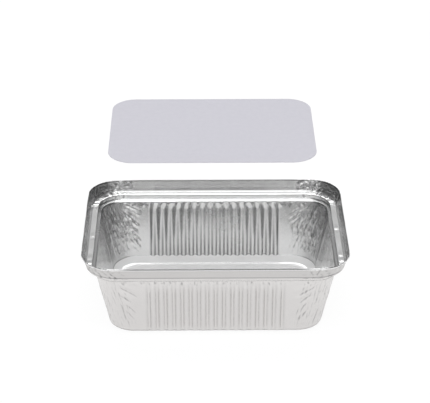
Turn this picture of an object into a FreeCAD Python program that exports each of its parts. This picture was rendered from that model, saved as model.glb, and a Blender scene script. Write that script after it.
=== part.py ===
import FreeCAD, Part
import math
import os

# Foil food container: a pressed foil tray, and its board lid lying flat behind it.
# Millimetres, +Z up, X along the long side. The origin is the middle of the tray's underside.
os.makedirs("parts", exist_ok=True)

# Rim of the tray
RIM_LENGTH = 196.0          # across the ledge, inside the flange
RIM_WIDTH = 139.0
RIM_CORNER_RADIUS = 24.0
RIM_HEIGHT = 57.0           # top of the ledge above the table
LEDGE_WIDTH = 4.6           # flat band that the lid rests on
STEP_DEPTH = 4.1            # from the ledge down to the shelf
SHELF_WIDTH = 2.4           # narrow shelf at the top of the walls

# Upright flange that is folded over the lid
FLANGE_HEIGHT = 10.4
FLANGE_FLARE_ENDS = 3.1     # how far the flange leans out at its top
FLANGE_FLARE_SIDES = 1.4
HEM_HEIGHT = 1.6            # edge folded back on the outside

# Walls and base
FOIL = 0.35                 # thickness of the pressed sheet
END_TAPER = 8.7             # how far each wall leans in from shelf to foot
SIDE_TAPER = 6.1
FOOT_CORNER_RADIUS = 20.0
BEVEL_WIDTH = 5.8           # sloping band between the walls and the floor
BEVEL_HEIGHT = 3.8
FLOOR_CORNER_RADIUS = 13.0

# Ribs pressed into the two long walls, each with a flat crest, two sloping flanks and a flat trough
RIB_COUNT = 17
RIB_DEPTH = 1.7
RIB_END_MARGIN = 8.5        # plain wall between the last rib and the foot's corner
RIB_TOP_GAP = 1.8           # plain wall between the ribs and the shelf
RIB_FADE = 3.4              # height over which a rib rises to its full depth
RIB_STEPS = (0.0, 0.5, 1.0, 1.0, 0.5, 0.0)    # share of the depth at even steps across one rib

# Gathers of the sheet in the four corners
PLEAT_COUNT = 12
WALL_PLEAT_DEPTH = 0.6
FLANGE_PLEAT_DEPTH = 0.35
FLANGE_KINK_DEPTH = 1.0     # sharp fold where the flange's straight sides meet its corners
PLEAT_UNEVENNESS = 0.6      # how much shallower the shallowest pleat is than the deepest
PLEAT_SWING = 2.4           # radians by which that unevenness moves on from one pleat to the next

# Board lid
LID_CLEARANCE = 0.6         # play between the lid and the flange when it is fitted
LID_THICKNESS = 0.6
LID_DISTANCE = 162.0        # from the tray's ledge to the lid that lies behind it

# Sizes that follow from those above
WALL_TOP_HALF_LENGTH = RIM_LENGTH / 2 - LEDGE_WIDTH - SHELF_WIDTH
WALL_TOP_HALF_WIDTH = RIM_WIDTH / 2 - LEDGE_WIDTH - SHELF_WIDTH
WALL_TOP_RADIUS = RIM_CORNER_RADIUS - LEDGE_WIDTH - SHELF_WIDTH
FOOT_HALF_LENGTH = WALL_TOP_HALF_LENGTH - END_TAPER
FOOT_HALF_WIDTH = WALL_TOP_HALF_WIDTH - SIDE_TAPER
SHELF_HEIGHT = RIM_HEIGHT - STEP_DEPTH
FOOT_HEIGHT = FOIL + BEVEL_HEIGHT
RIB_ZONE = FOOT_HALF_LENGTH - FOOT_CORNER_RADIUS - RIB_END_MARGIN
RIB_STEP = 2 * RIB_ZONE / (RIB_COUNT * len(RIB_STEPS))
FLAT = 1e-6                 # how far out of one plane four corners may be and still count as flat


def chords(stops):
    return [Part.LineSegment(first, last).toShape() for first, last in zip(stops, stops[1:])]


def pleat_dips(depth, kink):
    """How far each stop of a gathered corner dips inwards: every other one, unevenly."""
    dips = [0.0] * (2 * PLEAT_COUNT + 1)
    for k in range(PLEAT_COUNT):
        dips[2 * k + 1] = depth * (1 - PLEAT_UNEVENNESS * abs(math.sin(PLEAT_SWING * k)))
    if kink:
        dips[1] = dips[-2] = kink
    return dips


def corner(half_x, half_y, radius, height, start_angle, dips):
    """A quarter turn: one arc, or, where dips are given, short chords that dip inwards as pleats."""
    middle_angle = math.radians(start_angle + 45)
    centre_x = math.copysign(half_x - radius, math.cos(middle_angle))
    centre_y = math.copysign(half_y - radius, math.sin(middle_angle))

    def at(turn, dip=0.0):
        angle = math.radians(start_angle + 90 * turn)
        reach = radius - dip
        return FreeCAD.Vector(centre_x + reach * math.cos(angle), centre_y + reach * math.sin(angle), height)

    if dips is None:
        return [Part.Arc(at(0), at(0.5), at(1)).toShape()]
    return chords([at(k / (len(dips) - 1), dip) for k, dip in enumerate(dips)])


def long_side(half_x, half_y, radius, height, side, rib_depth):
    """A long side: one line, or, where a rib depth is given, plain wall, the row of ribs and plain wall."""
    stops = [(-(half_x - radius), 0.0)]
    if rib_depth is not None:
        for k, share in enumerate(RIB_STEPS * RIB_COUNT):
            stops.append((-RIB_ZONE + RIB_STEP * (k + 0.5), share * rib_depth))
    stops.append((half_x - radius, 0.0))
    points = [FreeCAD.Vector(x, side * (half_y - dip), height) for x, dip in stops]
    if side > 0:
        points.reverse()
    return chords(points)


def ring(half_x, half_y, radius, height, dips=None, rib_depth=None):
    """One level of the tray as eight spans of edges, anticlockwise seen from above."""
    end = half_y - radius

    def turn(start_angle):
        return corner(half_x, half_y, radius, height, start_angle, dips)

    def short_side(x, first_y):
        return chords([FreeCAD.Vector(x, first_y, height), FreeCAD.Vector(x, -first_y, height)])

    return [short_side(half_x, -end), turn(0), long_side(half_x, half_y, radius, height, 1, rib_depth), turn(90),
            short_side(-half_x, end), turn(180), long_side(half_x, half_y, radius, height, -1, rib_depth), turn(270)]


def outline(spans):
    """The closed wire of a ring."""
    return Part.Wire(Part.__sortEdges__([edge for span in spans for edge in span]))


def level_face(outer, inner=None):
    """A flat face inside a ring, or between two rings at one height."""
    if inner is None:
        return Part.Face(outline(outer))
    return Part.Face([outline(outer), outline(inner)])


def quad(low, high):
    """The face between two edges: a flat one where their ends lie in one plane, else a ruled one."""
    corners = [low.Vertexes[0].Point, low.Vertexes[1].Point, high.Vertexes[1].Point, high.Vertexes[0].Point]
    normal = (corners[1] - corners[0]).cross(corners[2] - corners[0]).normalize()
    straight = isinstance(low.Curve, Part.Line) and isinstance(high.Curve, Part.Line)
    if straight and abs(normal.dot(corners[3] - corners[0])) < FLAT:
        return Part.Face(Part.makePolygon(corners + corners[:1]))
    return Part.makeRuledSurface(low, high)


def side_panel(low_span, high_span):
    """The flat face between a span of many edges and one of fewer, in the plane of a wall."""
    low = [low_span[0].Vertexes[0].Point] + [edge.Vertexes[1].Point for edge in low_span]
    high = [high_span[0].Vertexes[0].Point] + [edge.Vertexes[1].Point for edge in high_span]
    points = low + high[::-1]
    return Part.Face(Part.makePolygon(points + points[:1]))


def band(lower, upper):
    """The faces between two rings at different heights."""
    faces = []
    for low_span, high_span in zip(lower, upper):
        if len(low_span) == len(high_span):
            faces += [quad(low, high) for low, high in zip(low_span, high_span)]
        else:
            faces.append(side_panel(low_span, high_span))
    return faces


def bands(rings):
    return [face for lower, upper in zip(rings, rings[1:]) for face in band(lower, upper)]


def wall_ring(rise, offset, height, pleat_depth, rib_depth):
    """A level of the sloping wall; rise runs from 0 at the foot to 1 at the shelf."""
    return ring(FOOT_HALF_LENGTH + rise * END_TAPER + offset,
                FOOT_HALF_WIDTH + rise * SIDE_TAPER + offset,
                FOOT_CORNER_RADIUS + rise * (WALL_TOP_RADIUS - FOOT_CORNER_RADIUS) + offset,
                height, pleat_dips(pleat_depth, 0), rib_depth)


def basin_rings(offset):
    """Floor, foot, ribbed and gathered walls, and the top of the walls; offset 0 is the inside."""
    low = FOOT_HEIGHT - offset
    high = SHELF_HEIGHT - offset
    rib_end = high - RIB_TOP_GAP
    rib_full = rib_end - RIB_FADE

    def wall(height, pleat_depth, rib_depth):
        return wall_ring((height - low) / (high - low), offset, height, pleat_depth, rib_depth)

    floor = ring(FOOT_HALF_LENGTH - BEVEL_WIDTH + offset, FOOT_HALF_WIDTH - BEVEL_WIDTH + offset,
                 FLOOR_CORNER_RADIUS + offset, FOIL - offset, pleat_dips(0, 0), 0.0)
    return [floor, wall(low, 0, RIB_DEPTH), wall(rib_full, WALL_PLEAT_DEPTH, RIB_DEPTH),
            wall(rib_end, WALL_PLEAT_DEPTH, 0.0), wall(high, 0, None)]


def rim_ring(inset, offset, height, dips=None):
    """A level of the rim, a given inset from the ledge's outer edge."""
    reach = offset - inset
    return ring(RIM_LENGTH / 2 + reach, RIM_WIDTH / 2 + reach, RIM_CORNER_RADIUS + reach, height, dips)


def flange_ring(drop, offset):
    """A level of the leaning flange, a given drop below its top edge, kinked where its corners start."""
    lean = (FLANGE_HEIGHT - drop) / FLANGE_HEIGHT
    return ring(RIM_LENGTH / 2 + lean * FLANGE_FLARE_ENDS + offset,
                RIM_WIDTH / 2 + lean * FLANGE_FLARE_SIDES + offset,
                RIM_CORNER_RADIUS + offset, RIM_HEIGHT + FLANGE_HEIGHT - drop,
                pleat_dips(FLANGE_PLEAT_DEPTH, FLANGE_KINK_DEPTH))


def sheet_side(offset, flange):
    """The faces of one side of the pressed sheet, from its floor up to the rings of its flange."""
    basin = basin_rings(offset)
    step_foot = rim_ring(LEDGE_WIDTH, offset, SHELF_HEIGHT - offset)
    step_top = rim_ring(LEDGE_WIDTH, offset, RIM_HEIGHT - offset)
    ledge_edge = rim_ring(0, offset, RIM_HEIGHT - offset, pleat_dips(FLANGE_PLEAT_DEPTH, 0))
    shelf = level_face(step_foot, basin[-1])
    ledge = level_face(ledge_edge, step_top)
    return ([level_face(basin[0])] + bands(basin) + [shelf] + band(step_foot, step_top) + [ledge]
            + bands([ledge_edge] + flange))


def tray():
    """One pressed sheet: its inside, its outside and the hem folded back on it, sewn into a solid."""
    inner_top = flange_ring(0, 0)
    hem_inside = flange_ring(HEM_HEIGHT, FOIL)
    hem_outside = flange_ring(HEM_HEIGHT, 2 * FOIL)
    outer_top = flange_ring(0, 2 * FOIL)
    faces = sheet_side(0, [inner_top]) + sheet_side(FOIL, [hem_inside])
    faces += [level_face(hem_outside, hem_inside), level_face(outer_top, inner_top)]
    faces += band(hem_outside, outer_top)
    shell = Part.makeShell(faces)
    shell.sewShape()
    solid = Part.makeSolid(shell)
    if solid.Volume < 0:
        solid.reverse()
    return solid


def lid():
    """A flat board, cut to drop inside the flange, with square edges and round corners."""
    half_x = RIM_LENGTH / 2 - LID_CLEARANCE
    half_y = RIM_WIDTH / 2 - LID_CLEARANCE
    outer_edge = ring(half_x, half_y, RIM_CORNER_RADIUS - LID_CLEARANCE, 0)
    board = level_face(outer_edge).extrude(FreeCAD.Vector(0, 0, LID_THICKNESS))
    board.translate(FreeCAD.Vector(0, RIM_WIDTH / 2 + LID_DISTANCE + half_y, 0))
    return board


tray().exportStep("parts/tray.step")
lid().exportStep("parts/lid.step")
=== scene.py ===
import math

import bpy
import numpy as np
from bpy.props import FloatProperty, FloatVectorProperty, IntProperty, PointerProperty, StringProperty
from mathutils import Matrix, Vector


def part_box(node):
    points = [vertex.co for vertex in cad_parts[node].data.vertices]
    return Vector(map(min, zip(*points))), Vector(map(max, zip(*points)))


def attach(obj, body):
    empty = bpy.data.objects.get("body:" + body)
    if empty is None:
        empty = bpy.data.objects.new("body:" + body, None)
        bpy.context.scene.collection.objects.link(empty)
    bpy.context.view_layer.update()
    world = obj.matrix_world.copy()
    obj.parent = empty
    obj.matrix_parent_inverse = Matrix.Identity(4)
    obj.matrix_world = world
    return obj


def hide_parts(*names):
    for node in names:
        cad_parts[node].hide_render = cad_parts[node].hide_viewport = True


bl_info = {
    "name": "Foil food container",
    "version": (1, 0, 0),
    "blender": (4, 5, 0),
    "location": "3D view > Sidebar > Foil tray",
    "description": "Dresses a pressed foil tray and its board lid, and lights them",
    "category": "Object",
}

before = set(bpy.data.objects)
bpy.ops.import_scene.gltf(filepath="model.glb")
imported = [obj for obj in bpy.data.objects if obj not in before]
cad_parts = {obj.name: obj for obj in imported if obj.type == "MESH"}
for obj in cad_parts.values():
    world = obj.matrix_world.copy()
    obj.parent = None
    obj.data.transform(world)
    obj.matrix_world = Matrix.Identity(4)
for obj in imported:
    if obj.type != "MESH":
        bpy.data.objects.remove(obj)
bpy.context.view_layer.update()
MM = 0.001
TRAY_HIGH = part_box("tray")[1]
LID_LOW, LID_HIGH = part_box("lid")


# Sizes and colours that a user would change

def number(name, description, default, **kind):
    return FloatProperty(name=name, description=description, default=default, **kind)


def length(name, description, in_mm):
    return number(name, description, in_mm * MM, unit="LENGTH", precision=5)


def hex_value(name, description, default):
    return StringProperty(name=name, description=description, default=default)


class TraySizes(bpy.types.PropertyGroup):
    """Sizes of the pressed tray."""
    foil: length("Foil", "Thickness of the sheet", 0.15)
    flange_height: length("Flange height", "From the ledge to the top of the flange", 10.4)
    flare_ends: length("Flare at the ends", "How far the end flanges lean out", 3.1)
    flare_sides: length("Flare at the sides", "How far the side flanges lean out", 1.4)
    hem_height: length("Hem", "Height of the edge folded back on the outside", 2.2)
    hem_roll: length("Hem roll", "Height of the rounded top of the folded edge", 1.0)
    hem_bulge: length("Hem bulge", "How far the folded edge stands out from the flange", 0.6)
    heel_height: length("Heel", "Height of the bead round the foot of the flange", 1.3)
    heel_width: length("Heel width", "How far that bead stands out", 0.45)
    rim_radius: length("Rim corner", "Corner radius at the ledge's outer edge", 24)
    ledge_width: length("Ledge", "Width of the band that the lid rests on", 4.6)
    step_depth: length("Step", "From the ledge down to the shelf", 4.1)
    shelf_width: length("Shelf", "Width of the narrow shelf at the top of the walls", 2.4)
    bead_drop: length("Bead", "How far the shelf's inner edge is rolled down", 1.0)
    end_taper: length("End taper", "How far the end walls lean in", 8.7)
    side_taper: length("Side taper", "How far the long walls lean in", 6.1)
    foot_radius: length("Foot corner", "Corner radius at the foot of the walls", 20)
    bevel_width: length("Band width", "Width of the sloping band round the floor", 5.8)
    bevel_height: length("Band height", "Height of the sloping band round the floor", 3.8)
    floor_radius: length("Floor corner", "Corner radius of the flat floor", 13)
    rib_pitch: length("Rib pitch", "From one rib of the long walls to the next", 6.33)
    rib_depth: length("Rib depth", "From the top of a rib to the bottom of its groove", 2.2)
    rib_fade: length("Rib fade", "Height over which the inner side of a rib rises", 14.0)
    rib_end: length("Groove end", "Height over which the groove between two ribs ends", 7.0)
    rib_count: IntProperty(name="Ribs", description="Ribs on each long wall", default=17, min=1)
    seed: IntProperty(name="Crease pattern", description="Number that picks the pattern of creases",
                      default=3)


class LidSizes(bpy.types.PropertyGroup):
    """Sizes of the board lid."""
    corner: length("Corner", "Corner radius of the board", 23.4)
    edge: length("Edge round", "Rounding of the cut edge", 0.12)
    bow: length("Bow", "How far the board's two ends lift off the table", 0.5)


class FinishColours(bpy.types.PropertyGroup):
    """Colours of the finishes, as sRGB hex values."""
    foil_bright: hex_value("Foil, bright side", "Side that touches the food", "F6F6F6")
    foil_matt: hex_value("Foil, matt side", "Outside of the tray", "E2E0DF")
    board: hex_value("Board", "Coated face of the lid", "D8D7DF")
    board_mottle: hex_value("Board mottle", "Thinner places of the coating", "CFCED7")
    table: hex_value("Table", "Surface under the object", "F4F4F4")


class StageSettings(bpy.types.PropertyGroup):
    """Camera, lamps and surround."""
    lens: number("Lens", "Focal length in picture widths", 3.837)
    tilt: number("Tilt", "Camera's angle down to the table", math.radians(28.54), subtype="ANGLE")
    turn: number("Turn", "Camera's angle to the tray's short side", math.radians(0.53), subtype="ANGLE")
    distance: length("Distance", "From the camera to its target", 1277.5)
    target: FloatVectorProperty(name="Target", description="Point on the camera's line of sight",
                                default=(0.05 * MM, 0.0, 85.67 * MM), unit="LENGTH")
    rear_power: number("Rear lamp", "Power of the soft lamp behind", 14.0, unit="POWER")
    top_power: number("Overhead lamp", "Power of the soft lamp above", 10.5, unit="POWER")
    front_power: number("Front lamp", "Power of the soft lamp in front", 10.0, unit="POWER")
    horizon: number("Horizon", "Strength of the surround at the horizon", 0.32)
    zenith: number("Zenith", "Strength of the surround straight above", 0.7)
    sides: number("Sides", "Share of it that comes from left and right", 0.2)


# Colour and node helpers

def linear(hex_colour):
    """An sRGB hex colour as linear red, green, blue and alpha: the standard two-part sRGB curve."""
    channels = np.array([int(hex_colour[k:k + 2], 16) for k in (0, 2, 4)]) / 255
    curve = np.where(channels <= 0.04045, channels / 12.92, ((channels + 0.055) / 1.055) ** 2.4)
    return (*curve.tolist(), 1.0)


def add_node(tree, kind, settings=None, links=None):
    """Adds a node. Settings are input values by name or attributes; links are input name to output socket."""
    node = tree.nodes.new(kind)
    for name, value in (settings or {}).items():
        if isinstance(name, int) or name in node.inputs:
            node.inputs[name].default_value = value
        else:
            setattr(node, name, value)
    for name, socket in (links or {}).items():
        tree.links.new(socket, node.inputs[name])
    return node


def new_material(name):
    material = bpy.data.materials.new(name)
    material.use_nodes = True
    material.node_tree.nodes.clear()
    return material, material.node_tree


def finish_material(tree, shader):
    add_node(tree, "ShaderNodeOutputMaterial", links={"Surface": shader.outputs[0]})


def add_math(tree, operation, *values):
    """The output of a math node on numbers and output sockets, in the order given."""
    numbers = {k: value for k, value in enumerate(values) if isinstance(value, (int, float))}
    sockets = {k: value for k, value in enumerate(values) if k not in numbers}
    return add_node(tree, "ShaderNodeMath", {"operation": operation, **numbers}, sockets).outputs[0]


def add_noise(tree, vector, size, detail, roughness=0.5):
    """The output of a noise texture whose largest features are of the given size."""
    settings = {"Scale": 1 / size, "Detail": detail, "Roughness": roughness}
    return add_node(tree, "ShaderNodeTexNoise", settings, {"Vector": vector}).outputs["Fac"]


def mix_colours(tree, factor, first, second):
    """The output of a mix of two sRGB hex colours, set on the mix node's two colour sockets."""
    settings = {"data_type": "RGBA", 6: linear(first), 7: linear(second)}
    return add_node(tree, "ShaderNodeMix", settings, {"Factor": factor}).outputs[2]


# Surfaces

def grid_faces(rows, columns):
    """Quads of a grid whose points run row by row, with the last column joined to the first.

    Where the columns run anticlockwise and the rows outwards, the quads face down.
    """
    across = np.arange(columns)
    up = np.arange(rows - 1)[:, None]
    right = (across + 1) % columns
    low, high = up * columns, (up + 1) * columns
    corners = [low + across, low + right, high + right, high + across]
    return np.stack(corners, axis=-1).reshape(-1, 4)


def mesh_object(name, points, faces):
    """A smooth-shaded mesh object from arrays of points and faces."""
    mesh = bpy.data.meshes.new(name)
    mesh.from_pydata(points.tolist(), [], [face.tolist() for face in faces])
    mesh.polygons.foreach_set("use_smooth", np.ones(len(mesh.polygons), dtype=bool))
    mesh.update()
    piece = bpy.data.objects.new(name, mesh)
    bpy.context.scene.collection.objects.link(piece)
    return piece


def smooth_step(value, low, high):
    """0 below low, 1 above high, and the cubic 3t^2 - 2t^3 between."""
    t = np.clip((value - low) / (high - low), 0, 1)
    return t * t * (3 - 2 * t)


# How far the flange's top lies inside the CAD model's box, which also holds the folded edge
RIM_MARGIN = 0.7 * MM
# The bead's place between the top of the wall and the shelf, as shares across and up
BEAD_SHARES = (0.35, 0.75)
# Stations over the top of the folded edge: share of its bulge, and drop below the highest point
HEM_TOP = {"top": (0.0, 0.25 * MM), "roll": (0.3, 0.0), "fold": (0.5, 0.3 * MM)}
# Share of the bulge at its lower end
HEM_END = 0.45
# Rows between one station and the next, and how close the rows beside a fold lie to it
ROWS_BETWEEN = {"foot": 8, "wall": 56, "bead": 1, "shelf": 2, "step": 5, "ledge": 6, "heel": 3, "top": 15,
                "roll": 1, "fold": 1, "pinch": 2, "hem": 3}
FOLD_SHARPNESS = 0.3 * MM
# The floor's rows, as shares of its outline
FLOOR_SHRINKS = (0.25, 0.5, 0.75, 0.93)
# Columns of an end, a corner, a plain panel beside the ribs, and a rib
END_COLUMNS, CORNER_COLUMNS, PANEL_COLUMNS, RIB_COLUMNS = 46, 62, 38, 8
# Numbers of the spans round the plan, anticlockwise from the right end
END_SPANS, CORNER_SPANS, SIDE_SPANS = (0, 4), (1, 3, 5, 7), (2, 6)


def station_levels(sizes):
    """The tray's profile as named stations from the floor out to the hem, each a level of the plan.

    A level is half length, half width, corner radius and height.
    """
    def outwards(across, up=0.0):
        return np.array([across, across, across, up])

    inside_x = TRAY_HIGH.x - RIM_MARGIN - sizes.flare_ends
    inside_y = TRAY_HIGH.y - RIM_MARGIN - sizes.flare_sides
    ledge_z = TRAY_HIGH.z - sizes.flange_height
    shelf_z = ledge_z - sizes.step_depth
    inset = sizes.ledge_width + sizes.shelf_width
    wall = np.array([inside_x - inset, inside_y - inset, sizes.rim_radius - inset, shelf_z - sizes.bead_drop])
    bead = wall + outwards(BEAD_SHARES[0] * sizes.shelf_width, BEAD_SHARES[1] * sizes.bead_drop)
    foot = np.array([wall[0] - sizes.end_taper, wall[1] - sizes.side_taper, sizes.foot_radius,
                     sizes.foil + sizes.bevel_height])
    floor = np.array([foot[0] - sizes.bevel_width, foot[1] - sizes.bevel_width, sizes.floor_radius,
                      sizes.foil])
    rim = np.array([inside_x, inside_y, sizes.rim_radius, ledge_z])
    step = rim - outwards(sizes.ledge_width)
    top = rim + [sizes.flare_ends, sizes.flare_sides, 0, sizes.flange_height]
    heel = rim + sizes.heel_height / sizes.flange_height * (top - rim) - outwards(sizes.heel_width)
    bulge = outwards(sizes.hem_bulge)
    over_top = {name: top + share * bulge - outwards(0, drop)
                for name, (share, drop) in {**HEM_TOP, "pinch": (1.0, sizes.hem_roll)}.items()}
    hem = top + HEM_END * bulge - sizes.hem_height / sizes.flange_height * (top - rim)
    return {"floor": floor, "foot": foot, "wall": wall, "bead": bead,
            "shelf": step - outwards(0, sizes.step_depth), "step": step, "ledge": rim, "heel": heel,
            **over_top, "hem": hem}


def profile_rows(stations):
    """Rows from the middle of the floor out to the hem: straight runs between stations, folds rounded.

    Returns half length, half width, radius and height of each row, its shrink towards the floor's middle,
    its distance along the profile from the floor's edge, and that distance at each station.
    """
    names, levels = list(stations), list(stations.values())
    rows, distances, reached, at = [], [], {"floor": 0.0}, 0.0
    for name, low, high in zip(names[1:], levels, levels[1:]):
        run = float(np.hypot(high[1] - low[1], high[3] - low[3]))
        cut = min(FOLD_SHARPNESS, 0.25 * run)
        shares = np.linspace(cut, run - cut, ROWS_BETWEEN[name] + 1) / run
        rows += [low + share * (high - low) for share in shares]
        distances += [at + share * run for share in shares]
        at += run
        reached[name] = at
    rows = [levels[0]] * len(FLOOR_SHRINKS) + rows
    shrinks = np.array(list(FLOOR_SHRINKS) + [1.0] * len(distances))
    inner = [-(1 - shrink) * float(levels[0][1]) for shrink in FLOOR_SHRINKS]
    return np.array(rows), shrinks, np.array(inner + distances), reached


def plan_columns(sizes):
    """Columns round the plan, anticlockwise from the right end, as arrays of four numbers each.

    A column's point on a level is (share_x * (half length - radius) + fixed_x + radius * cos(angle),
    share_y * (half width - radius) + radius * sin(angle)). On a long side fixed_x holds the ribs upright.
    """
    zone = sizes.rib_pitch * sizes.rib_count / 2
    end = np.linspace(-1, 1, END_COLUMNS, endpoint=False)
    turn = np.linspace(0, 1, CORNER_COLUMNS, endpoint=False)
    panel = np.linspace(0, 1, PANEL_COLUMNS, endpoint=False)
    ribs = np.linspace(-zone, zone, RIB_COLUMNS * sizes.rib_count, endpoint=False)
    side_share = np.concatenate([1 - panel, np.zeros(len(ribs)), -panel])
    side_fixed = np.concatenate([zone * panel, -ribs, -zone * (1 - panel)])

    def span(share_x, fixed_x, share_y, angle):
        return np.stack(np.broadcast_arrays(share_x, fixed_x, share_y, angle))

    quarter = math.pi / 2
    return [
        span(1, 0, end, 0), span(1, 0, 1, turn * quarter),
        span(side_share, side_fixed, 1, quarter), span(-1, 0, 1, (1 + turn) * quarter),
        span(-1, 0, -end, 2 * quarter), span(-1, 0, -1, (2 + turn) * quarter),
        span(-side_share, -side_fixed, -1, 3 * quarter), span(1, 0, -1, (3 + turn) * quarter),
    ]


def plan_points(rows, shrinks, columns):
    """Points of the smooth tray: every column's formula on every row, and the floor's rows shrunk."""
    share_x, fixed_x, share_y, angle = columns
    half_x, half_y, radius, height = (rows[:, k:k + 1] for k in range(4))
    x = share_x * (half_x - radius) + fixed_x + radius * np.cos(angle)
    y = share_y * (half_y - radius) + radius * np.sin(angle)
    return np.stack([x * shrinks[:, None], y * shrinks[:, None], np.broadcast_to(height, x.shape)], axis=-1)


def surface_normals(points):
    """Unit normals of a closed grid, towards the inside: the way out crossed with the way round."""
    around = np.roll(points, -1, axis=1) - np.roll(points, 1, axis=1)
    outwards = np.gradient(points, axis=0)
    normals = np.cross(outwards, around)
    return normals / np.maximum(np.linalg.norm(normals, axis=-1, keepdims=True), 1e-12)


# Sharpness of the ribs' zigzag, from 0, a wave, to 1, a sharp fold
RIB_TURN = 0.97
# Where the middle of the zigzag lies, as a share of its depth inwards from the wall
RIB_MIDDLE = -0.25
# Height of wall above the foot that stretches down to where a rib meets the band
RIB_FOOT_STRETCH = 3 * MM


def rib_zigzag(points, distance, sizes):
    """The ribs' zigzag with rounded turns, -0.5 to 0.5, and where it holds.

    Formula: -arcsin(k cos(phase)) / (2 arcsin(k)), with k the sharpness and a turn of the phase per rib.
    """
    zone = sizes.rib_pitch * sizes.rib_count / 2
    x, y = points[..., 0], points[..., 1]
    phase = 2 * math.pi * (x + zone) / sizes.rib_pitch
    zigzag = -0.5 * np.arcsin(RIB_TURN * np.cos(phase)) / math.asin(RIB_TURN)
    long_side = (np.abs(x) < zone) & (np.abs(y) > 0.5 * TRAY_HIGH.y) & (distance >= 0)[:, None]
    return zigzag, long_side


def rib_waves(zigzag, long_side, distance, reached, sizes):
    """The zigzag about its middle. What stands inwards fades slowly under the bead, the rest quickly."""
    across = (RIB_MIDDLE + zigzag) * long_side
    slow, quick = (1 - smooth_step(distance, reached["wall"] - fade, reached["wall"])[:, None]
                   for fade in (sizes.rib_fade, sizes.rib_end))
    return across * np.where(across > 0, slow, quick)


def rib_push(points, normals, distance, reached, sizes, waves):
    """The ribs' displacement across the wall, inwards where the waves are above 0 and outwards below.

    A rib fades out under the bead. It ends in the plane of the sloping band, so the foot's line runs up
    and down that plane with the ribs, and the band itself stays flat.
    """
    depth = sizes.rib_depth * waves
    wall = distance > reached["foot"]
    on_band = smooth_step(distance, 0.4 * reached["foot"], reached["foot"])
    down_band = sizes.bevel_height / sizes.bevel_width * (
        1 - smooth_step(distance, reached["foot"], reached["foot"] + RIB_FOOT_STRETCH))
    slide = -np.sign(points) * [0, 1, 0]
    push = np.where(wall[:, None, None], normals, slide * on_band[:, None, None]) * depth[..., None]
    push[..., 2] -= depth * down_band[:, None] * on_band[:, None]
    return push


def lattice_noise(rng, around, along, total, cell_round, cell_up, shear=0.0):
    """A smooth random field in -1..1: random values on a lattice round and along, joined by cubic steps."""
    across = max(4, round(total / cell_round))
    lattice = rng.uniform(-1, 1, (int(np.ptp(along) / cell_up) + 3, across))
    place_s = (around + shear * along) / total * across
    place_q = (along - along.min()) / cell_up
    low_s, low_q = np.floor(place_s).astype(int), np.floor(place_q).astype(int)
    share_s, share_q = smooth_step(place_s - low_s, 0, 1), smooth_step(place_q - low_q, 0, 1)
    left, right = low_s % across, (low_s + 1) % across
    lower = lattice[low_q, left] * (1 - share_s) + lattice[low_q, right] * share_s
    upper = lattice[low_q + 1, left] * (1 - share_s) + lattice[low_q + 1, right] * share_s
    return lower * (1 - share_q) + upper * share_q


def corner_window(way, starts, total, fade):
    """1 round the four corners, falling to 0 over the fade on both sides of each."""
    window = np.zeros(way.shape)
    for corner in CORNER_SPANS:
        low, high = starts[corner], starts[corner + 1]
        for turn in (-total, 0, total):
            window = np.maximum(window, smooth_step(way + turn, low - fade, low)
                                * (1 - smooth_step(way + turn, high, high + fade)))
    return window


# How far beside the corners the crumpled places reach, on the ledge and elsewhere
LEDGE_FADE, CRUMPLE_FADE = 3 * MM, 9 * MM
# Crumpled places: where, size round and along the profile, slant, and depth of the folds
CRUMPLES = (("wall", 2.6 * MM, 14 * MM, 0.15, 0.1 * MM), ("wall", 1.2 * MM, 6 * MM, -0.1, 0.12 * MM),
            ("ledge", 1.5 * MM, 30 * MM, 0.0, 0.3 * MM), ("flange", 3 * MM, 4.5 * MM, 0.6, 0.2 * MM),
            ("flange", 1.6 * MM, 2.5 * MM, -0.5, 0.18 * MM))
# The line pressed round the flange: its place as a share of the flange's height, half width and depth
PRESSED_LINE = (0.4, 0.6 * MM, 0.12 * MM)


def crumple(rng, around, along, starts, reached, total):
    """Crumpled places: upright folds down the gathered corners, rays on the ledge, dents in the flange."""
    tight, loose = (corner_window(around[0], starts, total, fade) for fade in (LEDGE_FADE, CRUMPLE_FADE))
    wall = smooth_step(along, reached["foot"] + 1 * MM, reached["foot"] + 5 * MM) * (
        1 - smooth_step(along, reached["wall"] - 2 * MM, reached["wall"]))
    ledge = smooth_step(along, reached["shelf"], reached["step"] - 1 * MM) * (
        1 - smooth_step(along, reached["ledge"] - 0.5 * MM, reached["ledge"]))
    flange = smooth_step(along, reached["ledge"], reached["ledge"] + 1 * MM)
    places = {"wall": wall * loose, "ledge": ledge * tight, "flange": flange * loose}
    relief = np.zeros(around.shape)
    for place, cell_round, cell_up, slant, depth in CRUMPLES:
        noise = lattice_noise(rng, around, along, total, cell_round, cell_up, slant)
        # Sharp folds along the lines where the noise is 0
        relief += depth * places[place] * (1 - 2 * np.abs(noise))
    return relief


def pressed_line(rng, around, along, reached, total):
    """A faint broken line pressed round the flange: depth * exp(-(distance from its middle / width)^2)."""
    place, width, depth = PRESSED_LINE
    middle = reached["ledge"] + place * (reached["top"] - reached["ledge"])
    broken = 0.6 + 0.6 * lattice_noise(rng, around, along, total, 5 * MM, 40 * MM)
    return depth * broken * np.exp(-((along - middle) / width) ** 2)


# How many widths away a crease's relief ends
CREASE_REACH = 6


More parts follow.
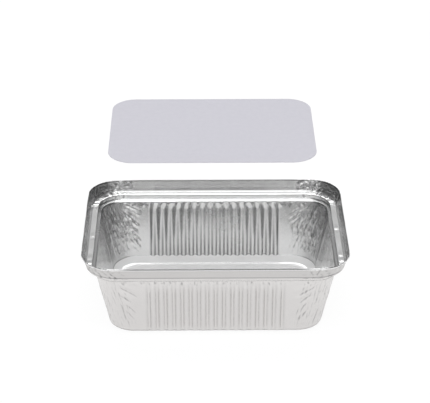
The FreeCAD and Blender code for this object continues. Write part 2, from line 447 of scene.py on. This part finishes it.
def crease_field(around, along, total, creases):
    """Sum of creases. Each is a straight line between two points of (way round, way along the profile).

    Formula: the relief is depth * exp(-(distance from the line / width)^1.4), tapered towards the line's
    two ends.
    """
    field = np.zeros(around.shape)
    for start_s, start_q, end_s, end_q, width, depth in creases:
        reach = abs(end_s - start_s) / 2 + CREASE_REACH * width
        middle = (start_s + end_s) / 2
        offset = (around[0] - middle + total / 2) % total - total / 2
        near = np.abs(offset) < reach
        high = np.abs(along[:, 0] - (start_q + end_q) / 2) < abs(end_q - start_q) / 2 + CREASE_REACH * width
        s = (offset[near] + middle)[None, :] - start_s
        q = along[high][:, :1] - start_q
        run = np.array([end_s - start_s, end_q - start_q])
        size = np.hypot(*run)
        share = (s * run[0] + q * run[1]) / size ** 2
        inside = np.clip(share, 0, 1)
        gap = np.hypot(s - inside * run[0], q - inside * run[1])
        relief = depth * np.exp(-(gap / width) ** 1.4) * (0.25 + 0.75 * np.sin(math.pi * inside) ** 0.5)
        field[np.ix_(high, near)] += relief
    return field


# Creases beside the ribs: the corner they start from, way round, how many, how far down, how deep
FAN_REACH = 36 * MM
PANEL_FANS = ((1, 1, 5, 12 * MM, 0.3 * MM), (3, -1, 11, FAN_REACH, 0.6 * MM),
              (5, 1, 8, 28 * MM, 0.5 * MM), (7, -1, 9, 32 * MM, 0.5 * MM))
# Degrees below level of the highest of these creases, and how much steeper the lowest ones are
FAN_FALL, FAN_STEEPER = 42, 26
# Kinks where the flange's sides meet its corners: strength at each corner; lean and depth of each fold
KINK_STRENGTHS = ((1, 1.0), (3, 1.0), (5, 0.4), (7, 0.4))
KINKS = ((0.6 * MM, 0.5 * MM), (2.4 * MM, -0.35 * MM), (-1.6 * MM, -0.3 * MM))
# Folds across the ledge of each end, at shares of the end's length
LEDGE_FOLDS = ((4, (0.52, 0.9, 0.98)), (0, (0.03, 0.12, 0.58)))
# Folds down each end wall: shares of the end's length at their top and foot, and depth
END_FOLDS = ((0.18, 0.02, 0.55 * MM), (0.82, 0.97, 0.5 * MM))
# Soft waves of the sheet: how many are added up, their depth and their usual length
WAVES, WAVE_DEPTH, WAVE_LENGTH = 6, 0.07 * MM, 24 * MM


def random_depths(rng, low, high, count):
    """Random depths of creases, each inwards or outwards."""
    return rng.uniform(low, high, count) * np.where(rng.random(count) < 0.5, -1, 1)


def corner_gathers(rng, starts, reached, count):
    """Creases down each gathered corner, more or less upright, of random length and depth."""
    creases = []
    for corner in CORNER_SPANS:
        low, high = starts[corner] - 5 * MM, starts[corner + 1] + 5 * MM
        s = rng.uniform(low, high, count)
        middle = rng.uniform(reached["foot"] + 4 * MM, reached["wall"] - 4 * MM, count)
        half = rng.uniform(4 * MM, 14 * MM, count)
        bottom = np.maximum(middle - half, reached["foot"] + 2 * MM)
        top = np.minimum(middle + half, reached["wall"] - 0.8 * MM)
        slant = rng.normal(0, 0.7 * MM, count)
        width = rng.uniform(0.4 * MM, 0.7 * MM, count)
        depth = random_depths(rng, 0.08 * MM, 0.26 * MM, count)
        creases += zip(s - slant, bottom, s + slant, top, width, depth)
    return creases


def panel_fans(rng, starts, reached):
    """Slanting creases that fan out from the corners over the plain panels beside the ribs."""
    creases = []
    for corner, side, count, reach, deep in PANEL_FANS:
        # side is the way from the corner towards the ribs, in the direction round the tray
        edge = starts[corner + 1] if side > 0 else starts[corner]
        for k in range(count):
            drop = k / (count - 1)
            s = edge + side * rng.uniform(-3 * MM, 0.5 * MM)
            q = reached["wall"] - 2 * MM - drop * reach
            fall = math.radians(FAN_FALL + FAN_STEEPER * drop * reach / FAN_REACH + rng.normal(0, 3))
            size = rng.uniform(10 * MM, 15 * MM) * (1 - 0.3 * drop)
            depth = deep * rng.uniform(0.7, 1.1) * (1 if k % 2 else -1)
            creases.append((s, q, s + side * size * math.cos(fall), q - size * math.sin(fall), 0.85 * MM,
                            depth))
    return creases


def shelf_puckers(rng, starts, reached, count):
    """Short puckers just under the bead along each long wall, where the drawn sheet is let in."""
    creases = []
    for side in SIDE_SPANS:
        s = np.linspace(starts[side] + 2 * MM, starts[side + 1] - 2 * MM, count)
        s += rng.normal(0, 0.5 * MM, count)
        top = reached["wall"] - rng.uniform(0.2 * MM, 1.6 * MM, count)
        bottom = top - rng.uniform(1.5 * MM, 4.2 * MM, count)
        slant = rng.normal(0, 1.0 * MM, count)
        depth = random_depths(rng, 0.15 * MM, 0.35 * MM, count)
        creases += zip(s, top, s + slant, bottom, np.full(count, 0.5 * MM), depth)
    return creases


def rim_creases(rng, starts, reached, count):
    """Folds of each rim corner: rays across the ledge, and slanting dents in the flange above it."""
    creases = []
    for corner in CORNER_SPANS:
        low, high = starts[corner] - 2 * MM, starts[corner + 1] + 2 * MM
        rays = np.linspace(low, high, count) + rng.normal(0, 0.3 * MM, count)
        ray_depth = random_depths(rng, 0.12 * MM, 0.32 * MM, count)
        shifts = rng.normal(0, 0.4 * MM, count)
        creases += [(s, reached["step"] + 0.3 * MM, s + shift, reached["ledge"] - 0.2 * MM, 0.45 * MM, depth)
                    for s, shift, depth in zip(rays, shifts, ray_depth)]
        dents = rng.uniform(low, high, count)
        slant = rng.normal(0, 1.8 * MM, count)
        dent_depth = random_depths(rng, 0.12 * MM, 0.36 * MM, count)
        bottom = reached["ledge"] + rng.uniform(0.4 * MM, 3 * MM, count)
        top = np.minimum(bottom + rng.uniform(4 * MM, 9 * MM, count), reached["top"] - 0.2 * MM)
        width = rng.uniform(0.5 * MM, 0.9 * MM, count)
        creases += zip(dents, bottom, dents + slant, top, width, dent_depth)
    return creases


def placed_folds(starts, reached):
    """Folds at set places: kinks where the flange's sides meet its corners, single folds across the ledge of
    the two ends, and long soft folds down the end walls."""
    creases = []
    for corner, strength in KINK_STRENGTHS:
        for s, lean in ((starts[corner], 1), (starts[corner + 1], -1)):
            for shift, depth in KINKS:
                foot = s + lean * shift * 0.4
                creases.append((foot, reached["ledge"] + 0.5 * MM, foot + lean * shift, reached["top"],
                                0.7 * MM, depth * strength))
    for end, shares in LEDGE_FOLDS:
        run = starts[end + 1] - starts[end]
        for share in shares:
            s = starts[end] + share * run
            creases.append((s, reached["step"], s + 1.5 * MM, reached["ledge"], 1.3 * MM, 0.6 * MM))
    for end in END_SPANS:
        run = starts[end + 1] - starts[end]
        for first, last, depth in END_FOLDS:
            creases.append((starts[end] + first * run, reached["wall"] - 2 * MM, starts[end] + last * run,
                            reached["foot"] + 2 * MM, 2.2 * MM, depth))
    return creases


def soft_waves(rng, around, along, total):
    """Shallow waves of the whole sheet: a sum of sines round and along the tray with random phases."""
    field = np.zeros(around.shape)
    turns = int(total / WAVE_LENGTH)
    for _ in range(WAVES):
        cycles = max(1, int(turns * rng.uniform(0.4, 1.3)))
        slope = rng.uniform(-2, 2) * math.pi / (2 * WAVE_LENGTH)
        field += np.sin(2 * math.pi * cycles * around / total + slope * along + rng.uniform(0, 2 * math.pi))
    return WAVE_DEPTH * field / (WAVES / 2)


# Painted shade in narrow grooves, inside and outside, as a share
INSIDE_GROOVE_SHADE, OUTSIDE_GROOVE_SHADE = 0.5, 0.6
# Depth in mm from which a groove gets painted shade, and how much deeper it gets all of that share
GROOVE_START, GROOVE_RANGE = 0.05, 0.3
# Painted shade on the slopes of the ribs: inside, at the foot and under the bead, and outside
INSIDE_SLOPE_SHADE, OUTSIDE_SLOPE_SHADE = (0.66, 0.1), 0.08
# Painted shade at the two ends, which are seen edge-on: between two stations, the share
END_SHADES = (("foot", "wall", 0.28), ("wall", "step", 0.45), ("ledge", "top", 0.25))
# Shares of half the length between which that painted shade grows, and between which the roll's painted shade
# fades out
ENDS_FROM, ENDS_TO = 0.78, 0.96
ROLL_FROM, ROLL_TO = 0.6, 0.75
# Painted shade along the rim's folds, over the roll, at the hem's edge, and over the flange's outside
RIM_SHADE, ROLL_SHADE, EDGE_SHADE, FLANGE_SHADE = 0.35, 0.72, 0.105, 0.18
# Half width of the painted dark lines along folds
LINE_HALF = 0.5 * MM


def hollows(relief):
    """How deep each point lies in a narrow fold: its relief less the mean over its neighbours, in mm.

    The mean is over 3 columns and 2 rows to each side. The result is above 0 in grooves of the outside and
    below 0 in grooves of the inside.
    """
    near = relief
    for axis, reach in ((1, 3), (0, 2)):
        near = sum(np.roll(near, step, axis=axis) for step in range(-reach, reach + 1)) / (2 * reach + 1)
    return (relief - near) / MM


def fold_shades(relief, zigzag, long_side, points, distance, reached):
    """How much painted shade darkens each side of the sheet's colour, 0 to 1: it stands for light lost in
    folds too narrow to model, and is also painted on the places below.

    Inside: grooves, the slopes of the ribs, the line under the rim, the roll over the middle of the long
    sides, and the two ends. Outside: grooves, the slopes of the ribs, the flange, the groove over the heel,
    and the hem's top and edge.
    """
    # Narrow grooves get painted shade, deeper ones more
    depth = hollows(relief) * (distance >= 0)[:, None]
    lost_inside, lost_outside = (np.clip((side * depth - GROOVE_START) / GROOVE_RANGE, 0, 1)
                                 for side in (-1, 1))
    # Painted shade on the ribs' slopes, most halfway between a rib's crest and groove, from the foot to under
    # the bead
    reach = smooth_step(distance, reached["foot"] - 0.1 * MM, reached["foot"]) * (
        1 - smooth_step(distance, reached["wall"] - 4 * MM, reached["wall"]))
    slanting = long_side * reach[:, None] * (1 - np.abs(zigzag))
    at_foot, at_bead = INSIDE_SLOPE_SHADE
    slopes = at_foot + (at_bead - at_foot) * smooth_step(distance, reached["foot"], reached["wall"])[:, None]
    inside = INSIDE_GROOVE_SHADE * lost_inside + slopes * slanting
    outside = OUTSIDE_GROOVE_SHADE * lost_outside + OUTSIDE_SLOPE_SHADE * slanting
    # Painted shade: a dark line inside, just below the top of the flange
    inside[np.abs(distance - reached["top"] + LINE_HALF) < LINE_HALF] += RIM_SHADE
    aside = np.abs(points[..., 0])
    aside = aside / aside.max(axis=1, keepdims=True)
    # Painted shade over the hem's roll, along the middle of the long sides
    roll = (distance > reached["top"]) & (distance < reached["pinch"])
    inside[roll] += ROLL_SHADE * (1 - smooth_step(aside, ROLL_FROM, ROLL_TO))[roll]
    # Painted shade on the two ends: end walls, shelf and step, and flange
    ends = smooth_step(aside, ENDS_FROM, ENDS_TO)
    for first, last, share in END_SHADES:
        rows = (distance > reached[first]) & (distance < reached[last])
        inside[rows] += share * ends[rows]
    # Painted shade outside: all over the flange, dark lines at the heel and over the hem's fold, and along
    # the hem's lower edge
    outside[distance > reached["heel"]] += FLANGE_SHADE
    outside[np.abs(distance - reached["heel"]) < LINE_HALF] += RIM_SHADE
    outside[(distance > reached["fold"]) & (distance < reached["pinch"] + 0.3 * MM)] += RIM_SHADE
    outside[-2:] += EDGE_SHADE
    return {"inside painted shade": inside, "outside painted shade": outside}


# Height over which the walls' folds fade in above the foot
CRISP_FOOT = 3.5 * MM
# How far beside the corners their fine wrinkles reach, and how far above the foot they start
WRINKLE_FADE, WRINKLE_START = 7 * MM, 1 * MM
# How far from the fold round the floor the scuffs stop, on the floor and on the band
FLOOR_MARGIN, BAND_MARGIN = 1 * MM, 0.6 * MM


def tray_surface(sizes):
    """The inside of the sheet as a grid of rows along the profile and columns round the plan.

    Formula: the smooth tray of plan_points, moved along its normals by creases and soft waves, and across
    the long walls by the ribs. Returns the points, the fields for the shader, and the rows at the foot and
    the shelf.
    """
    rows, shrinks, distance, reached = profile_rows(station_levels(sizes))
    spans = plan_columns(sizes)
    points = plan_points(rows, shrinks, np.concatenate(spans, axis=1))
    normals = surface_normals(points)
    # The way round is measured on the row at mid wall.
    ring = points[np.argmin(np.abs(distance - (reached["foot"] + reached["wall"]) / 2))]
    steps = np.linalg.norm(np.roll(ring, -1, axis=0) - ring, axis=1)
    total = float(steps.sum())
    way = np.concatenate([[0], np.cumsum(steps)[:-1]])
    counts = np.cumsum([0] + [part.shape[1] for part in spans])
    starts = [float(way[count]) if count < len(way) else total for count in counts]
    around = np.broadcast_to(way, points.shape[:2])
    along = np.broadcast_to(distance[:, None], points.shape[:2])
    rng = np.random.default_rng(sizes.seed)
    creases = (corner_gathers(rng, starts, reached, count=100) + panel_fans(rng, starts, reached)
               + shelf_puckers(rng, starts, reached, count=84) + rim_creases(rng, starts, reached, count=14)
               + placed_folds(starts, reached))
    relief = crease_field(around, along, total, creases)
    relief += crumple(rng, around, along, starts, reached, total)
    relief += pressed_line(rng, around, along, reached, total)
    # The band and the foot are drawn smooth: the folds end above them.
    relief *= smooth_step(distance, reached["foot"], reached["foot"] + CRISP_FOOT)[:, None]
    relief += soft_waves(rng, around, along, total)
    # The floor stays flat on the table, and the hem moves with the flange that it is folded over.
    relief[distance < FOLD_SHARPNESS] = 0
    zigzag, long_side = rib_zigzag(points, distance, sizes)
    waves = rib_waves(zigzag, long_side, distance, reached, sizes)
    push = normals * relief[..., None] + rib_push(points, normals, distance, reached, sizes, waves)
    top = int(np.searchsorted(distance, reached["top"]))
    heights = rows[:, 3]
    flange = np.arange(int(np.searchsorted(distance, reached["heel"])), top)
    for row in range(top, len(rows)):
        push[row] = push[flange[np.argmin(np.abs(heights[flange] - heights[row]))]]
    wrinkled = (distance > reached["foot"] + WRINKLE_START)[:, None]
    gathered = corner_window(around, starts, total, WRINKLE_FADE) * wrinkled
    # The floor and the band round it are scuffed, apart from the fold between them.
    worn = (distance < -FLOOR_MARGIN) | ((distance > BAND_MARGIN) & (distance < reached["foot"]))
    scuffs = np.broadcast_to(worn.astype(float)[:, None], relief.shape)
    # fold_shades gives the painted shade of each side of the sheet
    fields = {"scuff": scuffs, "gathered": gathered,
              **fold_shades(relief, zigzag * 2, long_side, points, distance, reached)}
    cuts = [int(np.searchsorted(distance, reached[name])) for name in ("foot", "shelf")]
    return points + push, fields, cuts


def foil_sheet(name, points, fields, capped, sizes, finishes):
    """A part of the sheet: its inside surface, closed at the floor's middle if capped, thickened outwards."""
    rows, columns = points.shape[:2]
    faces = list(grid_faces(rows, columns)[:, ::-1])
    vertices = points.reshape(-1, 3)
    if capped:
        ring = np.arange(columns)
        faces += list(np.stack([np.full(columns, rows * columns), ring, (ring + 1) % columns], axis=1))
        vertices = np.concatenate([vertices, [[0, 0, sizes.foil]]])
        fields = {label: np.append(field, field[0, 0]) for label, field in fields.items()}
    piece = mesh_object(name, vertices, faces)
    for label, field in fields.items():
        attribute = piece.data.attributes.new(label, "FLOAT", "POINT")
        attribute.data.foreach_set("value", field.ravel().astype(np.float32))
    for material in finishes:
        piece.data.materials.append(material)
    shell = piece.modifiers.new("sheet", "SOLIDIFY")
    shell.thickness = sizes.foil
    shell.offset = -1
    shell.material_offset = 1
    return piece


# Points on a quarter of the board's outline, and across each rounded edge
LID_QUARTER, LID_EDGE = 28, 5
# Smaller outlines on the underside and the top, as shares of the whole
LID_UNDER, LID_TOP = (0.3, 0.6, 0.85), (0.97, 0.93, 0.85, 0.75, 0.6, 0.45, 0.3, 0.15)


def board_lid(sizes, material):
    """A flat board with round corners and rounded cut edges, bowed a little along its long side.

    Formula: a rounded-rectangle outline carried inwards over the edge's quarter rounds, closed by shrinking
    copies of the outline; the height gains bow * (2x / length)^2.
    """
    half = (LID_HIGH - LID_LOW) / 2
    centre = (LID_HIGH + LID_LOW) / 2
    thickness = LID_HIGH.z - LID_LOW.z
    # Half a step on, so that each point lies in one quarter of the outline
    count = 4 * LID_QUARTER
    angles = np.linspace(0, 2 * math.pi, count, endpoint=False) + math.pi / count
    sign_x, sign_y = np.sign(np.cos(angles)), np.sign(np.sin(angles))
    arc = np.linspace(0, math.pi / 2, LID_EDGE)
    edge = list(zip(sizes.edge * (1 - np.cos(arc)), sizes.edge * (1 - np.sin(arc))))
    levels = ([(sizes.edge, 0, shrink) for shrink in LID_UNDER]
              + [(inset, rise, 1.0) for inset, rise in reversed(edge)]
              + [(inset, thickness - rise, 1.0) for inset, rise in edge]
              + [(sizes.edge, thickness, shrink) for shrink in LID_TOP])
    rows = []
    for cut, height, shrink in levels:
        radius = sizes.corner - cut
        x = (sign_x * (half.x - sizes.corner) + radius * np.cos(angles)) * shrink
        y = (sign_y * (half.y - sizes.corner) + radius * np.sin(angles)) * shrink
        rows.append(np.stack([x, y, np.full(count, height)], axis=1))
    faces = list(grid_faces(len(rows), count))
    flat = np.concatenate([*rows, [[0, 0, 0], [0, 0, thickness]]])
    last = (len(rows) - 1) * count
    faces += [np.array([len(flat) - 2, (k + 1) % count, k]) for k in range(count)]
    faces += [np.array([len(flat) - 1, last + k, last + (k + 1) % count]) for k in range(count)]
    flat[:, 2] += sizes.bow * (flat[:, 0] / half.x) ** 2
    flat += [centre.x, centre.y, LID_LOW.z]
    piece = mesh_object("board_lid", flat, faces)
    piece.data.materials.append(material)
    return piece


# Materials

# Dark colour towards which the foil's colour is mixed as painted shade, for the little light that comes out
# of a fold too narrow to model
PAINTED_SHADE_COLOUR = "404244"
# How much rougher the floor and the band round it are than the walls
FLOOR_SCUFF = 0.75
# The foil's sides: roughness, strength of the relief, share of the corners' wrinkles, field of painted shade
BRIGHT_SIDE = (0.22, 0.07, 10.0, "inside painted shade")
MATT_SIDE = (0.2, 0.15, 3.0, "outside painted shade")
# Sizes of the crinkle and the dents, as on real foil, and height of the relief
CRINKLE, DENT, FOIL_RELIEF = 1.6 * MM, 14 * MM, 0.25 * MM
# Corner wrinkles, three times as long as wide: drawn coarser than the real 0.5 mm, too fine for the picture
PLEAT_WIDTH, PLEAT_SHAPE = 1.1 * MM, (1.0, 1.0, 0.3)
# Where most values of a noise texture lie, and the roughness's spread over them
NOISE_RANGE, GLOSS_SPREAD = (0.3, 0.7), (-0.05, 0.06)
# Sizes of the board's cloudy patches and of its fibres' marks, drawn coarser than real, and their height
CLOUD, FIBRE, FIBRE_RELIEF = 5 * MM, 0.7 * MM, 0.05 * MM
# The table's own white, just over 1 because a tenth of what the camera sees is the lit table, and its share
# in what the foil mirrors and in what the camera sees
TABLE_WHITE, MIRRORED_WHITE, SEEN_WHITE = 1.04, 0.6, 0.9


def foil_finish(name, colour, roughness, strength, wrinkles, lost_light):
    """Rolled aluminium foil, pressed cold: bright metal with faint crinkle and dents, finely wrinkled at the
    corners, duller where it is scuffed, and with painted shade mixed into its colour in folds too narrow to
    model and on the lines, slopes and ends that fold_shades marks."""
    material, tree = new_material(name)
    place = add_node(tree, "ShaderNodeTexCoord").outputs["Object"]
    scuff, gathered, lost = (add_node(tree, "ShaderNodeAttribute", {"attribute_name": label}).outputs["Fac"]
                             for label in ("scuff", "gathered", lost_light))
    fine = add_noise(tree, place, CRINKLE, 3.0, 0.6)
    broad = add_noise(tree, place, DENT, 2.0)
    upright = add_node(tree, "ShaderNodeMapping", {"Scale": PLEAT_SHAPE}, {"Vector": place})
    pleats = add_noise(tree, upright.outputs["Vector"], PLEAT_WIDTH, 2.0)
    crinkled = add_math(tree, "MULTIPLY_ADD", fine, 0.5, broad)
    relief = add_math(tree, "MULTIPLY_ADD", pleats, add_math(tree, "MULTIPLY", gathered, wrinkles), crinkled)
    bump = add_node(tree, "ShaderNodeBump", {"Strength": strength, "Distance": FOIL_RELIEF},
                    {"Height": relief})
    gloss = add_node(tree, "ShaderNodeMapRange",
                     {"From Min": NOISE_RANGE[0], "From Max": NOISE_RANGE[1],
                      "To Min": roughness + GLOSS_SPREAD[0], "To Max": roughness + GLOSS_SPREAD[1]},
                     {"Value": broad})
    dull = add_math(tree, "MULTIPLY_ADD", scuff, FLOOR_SCUFF, gloss.outputs[0])
    # Painted shade: the base colour is mixed towards the dark colour by the lost_light field
    shader = add_node(tree, "ShaderNodeBsdfPrincipled", {"Metallic": 1.0},
                      {"Base Color": mix_colours(tree, lost, colour, PAINTED_SHADE_COLOUR), "Roughness": dull,
                       "Normal": bump.outputs[0]})
    finish_material(tree, shader)
    return material


def coated_board(colours):
    """Laminated board: a matt coated face with the faint cloudiness of the fibres under it."""
    material, tree = new_material("matt laminated board")
    place = add_node(tree, "ShaderNodeTexCoord").outputs["Object"]
    cloud = add_noise(tree, place, CLOUD, 4.0, 0.65)
    bump = add_node(tree, "ShaderNodeBump", {"Strength": 0.12, "Distance": FIBRE_RELIEF},
                    {"Height": add_noise(tree, place, FIBRE, 2.0)})
    shader = add_node(tree, "ShaderNodeBsdfPrincipled", {"Roughness": 0.6, "IOR": 1.5},
                      {"Base Color": mix_colours(tree, cloud, colours.board, colours.board_mottle),
                       "Normal": bump.outputs[0]})
    finish_material(tree, shader)
    return material


def pale_table(colour):
    """A plain pale table that the camera sees as white, and that foil mirrors partly as white: the rest of
    what the foil mirrors is the table as it is lit, with the object's shadow on it."""
    material, tree = new_material("pale table")
    ray = add_node(tree, "ShaderNodeLightPath").outputs
    mirrored = add_math(tree, "MAXIMUM", ray["Is Glossy Ray"], ray["Is Transmission Ray"])
    share = add_math(tree, "ADD", add_math(tree, "MULTIPLY", mirrored, MIRRORED_WHITE),
                     add_math(tree, "MULTIPLY", ray["Is Camera Ray"], SEEN_WHITE))
    white = add_node(tree, "ShaderNodeEmission", {"Color": (1, 1, 1, 1), "Strength": TABLE_WHITE})
    surface = add_node(tree, "ShaderNodeBsdfDiffuse", {"Color": linear(colour)})
    mix = add_node(tree, "ShaderNodeMixShader",
                   links={"Fac": share, 1: surface.outputs[0], 2: white.outputs[0]})
    finish_material(tree, mix)
    return material


# The stage

# The soft lamps, each with its size, place and target
REAR_LAMP = ((2.0, 1.0), (0, 0.9, 1.75), (0, 0, 0))
TOP_LAMP = ((2.2, 0.6), (0, -0.75, 1.72), (0, 0, 0))
FRONT_LAMP = ((2.6, 2.0), (0, -2.0, 1.45), (0, 0, 0.03))
# How far sideways a direction points, 0 to 1, where the surround begins and ends to dim
SIDES_FROM, SIDES_TO = 0.3, 0.7
# Half the length of the table's sides
TABLE_REACH = 6.0


def area_lamp(name, power, size, place, target):
    lamp = bpy.data.lights.new(name, "AREA")
    lamp.shape = "RECTANGLE"
    lamp.size, lamp.size_y = size
    lamp.energy = power
    holder = bpy.data.objects.new(name, lamp)
    holder.location = place
    holder.rotation_euler = (Vector(target) - Vector(place)).to_track_quat("-Z", "Y").to_euler()
    bpy.context.scene.collection.objects.link(holder)


def photo_camera(stage):
    """A camera on the measured line of sight: it looks along +Y, tilted down, a little turned."""
    camera = bpy.data.cameras.new("camera")
    camera.sensor_fit = "HORIZONTAL"
    camera.sensor_width = 36
    camera.lens = stage.lens * camera.sensor_width
    camera.clip_end = 20
    holder = bpy.data.objects.new("camera", camera)
    bpy.context.scene.collection.objects.link(holder)
    forward = Vector((math.sin(stage.turn) * math.cos(stage.tilt),
                      math.cos(stage.turn) * math.cos(stage.tilt), -math.sin(stage.tilt)))
    holder.location = Vector(stage.target) - stage.distance * forward
    holder.rotation_euler = forward.to_track_quat("-Z", "Y").to_euler()
    bpy.context.scene.camera = holder


def surround(stage):
    """Soft light from all round: it grows with height above the horizon, and is dimmer to left and right."""
    world = bpy.data.worlds.new("surround")
    world.use_nodes = True
    tree = world.node_tree
    tree.nodes.clear()
    axes = add_node(tree, "ShaderNodeSeparateXYZ",
                    links={"Vector": add_node(tree, "ShaderNodeTexCoord").outputs["Generated"]})
    height = add_node(tree, "ShaderNodeMapRange",
                      {"From Min": 0.0, "From Max": 1.0, "To Min": stage.horizon, "To Max": stage.zenith},
                      {"Value": axes.outputs["Z"]})
    dimmed = add_node(tree, "ShaderNodeMapRange",
                      {"interpolation_type": "SMOOTHSTEP", "From Min": SIDES_FROM, "From Max": SIDES_TO,
                       "To Min": 1.0, "To Max": stage.sides},
                      {"Value": add_math(tree, "ABSOLUTE", axes.outputs["X"])})
    level = add_math(tree, "MULTIPLY", height.outputs["Result"], dimmed.outputs["Result"])
    light = add_node(tree, "ShaderNodeBackground", {"Color": (1, 1, 1, 1)}, {"Strength": level})
    add_node(tree, "ShaderNodeOutputWorld", links={"Surface": light.outputs[0]})
    bpy.context.scene.world = world


# Operators

class FOIL_OT_tray(bpy.types.Operator):
    """Build the pressed foil tray over its CAD node"""
    bl_idname = "foil.tray"
    bl_label = "Foil tray"

    def execute(self, context):
        colours = context.scene.foil_colours
        finishes = [foil_finish("bright rolled aluminium foil", colours.foil_bright, *BRIGHT_SIDE),
                    foil_finish("matt rolled aluminium foil", colours.foil_matt, *MATT_SIDE)]
        sizes = context.scene.foil_tray
        points, fields, (foot, shelf) = tray_surface(sizes)
        for name, rows in (("foil_floor", slice(0, foot + 1)), ("foil_walls", slice(foot, shelf + 1)),
                           ("foil_rim", slice(shelf, None))):
            parts = {label: field[rows] for label, field in fields.items()}
            piece = foil_sheet(name, points[rows], parts, rows.start == 0, sizes, finishes)
            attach(piece, "root")
            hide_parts("tray")
        return {"FINISHED"}


class FOIL_OT_lid(bpy.types.Operator):
    """Build the board lid over its CAD node"""
    bl_idname = "foil.lid"
    bl_label = "Board lid"

    def execute(self, context):
        piece = board_lid(context.scene.foil_lid, coated_board(context.scene.foil_colours))
        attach(piece, "root")
        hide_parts("lid")
        return {"FINISHED"}


class FOIL_OT_stage(bpy.types.Operator):
    """Set out the table, lamps, surround and camera"""
    bl_idname = "foil.stage"
    bl_label = "Stage"

    def execute(self, context):
        stage = context.scene.foil_stage
        reach = TABLE_REACH
        corners = np.array([[-reach, -reach, 0], [reach, -reach, 0], [reach, reach, 0], [-reach, reach, 0]])
        table = mesh_object("table", corners, [np.arange(4)])
        table.data.materials.append(pale_table(context.scene.foil_colours.table))
        area_lamp("rear lamp", stage.rear_power, *REAR_LAMP)
        area_lamp("overhead lamp", stage.top_power, *TOP_LAMP)
        area_lamp("front lamp", stage.front_power, *FRONT_LAMP)
        surround(stage)
        photo_camera(stage)
        context.scene.view_settings.view_transform = "Standard"
        return {"FINISHED"}


class FOIL_PT_panel(bpy.types.Panel):
    """Sizes, colours and build buttons"""
    bl_label = "Foil food container"
    bl_idname = "FOIL_PT_panel"
    bl_space_type = "VIEW_3D"
    bl_region_type = "UI"
    bl_category = "Foil tray"

    def draw(self, context):
        for group in (context.scene.foil_tray, context.scene.foil_lid, context.scene.foil_colours,
                      context.scene.foil_stage):
            box = self.layout.box()
            for name in group.__annotations__:
                box.prop(group, name)
        for operator in (FOIL_OT_tray, FOIL_OT_lid, FOIL_OT_stage):
            self.layout.operator(operator.bl_idname)


CLASSES = (TraySizes, LidSizes, FinishColours, StageSettings, FOIL_OT_tray, FOIL_OT_lid, FOIL_OT_stage,
           FOIL_PT_panel)
GROUPS = {"foil_tray": TraySizes, "foil_lid": LidSizes, "foil_colours": FinishColours,
          "foil_stage": StageSettings}


def register():
    for kind in CLASSES:
        bpy.utils.register_class(kind)
    for name, group in GROUPS.items():
        setattr(bpy.types.Scene, name, PointerProperty(type=group))


def unregister():
    for name in GROUPS:
        delattr(bpy.types.Scene, name)
    for kind in reversed(CLASSES):
        bpy.utils.unregister_class(kind)


def main():
    register()
    bpy.ops.foil.tray()
    bpy.ops.foil.lid()
    bpy.ops.foil.stage()


if __name__ == "__main__":
    main()
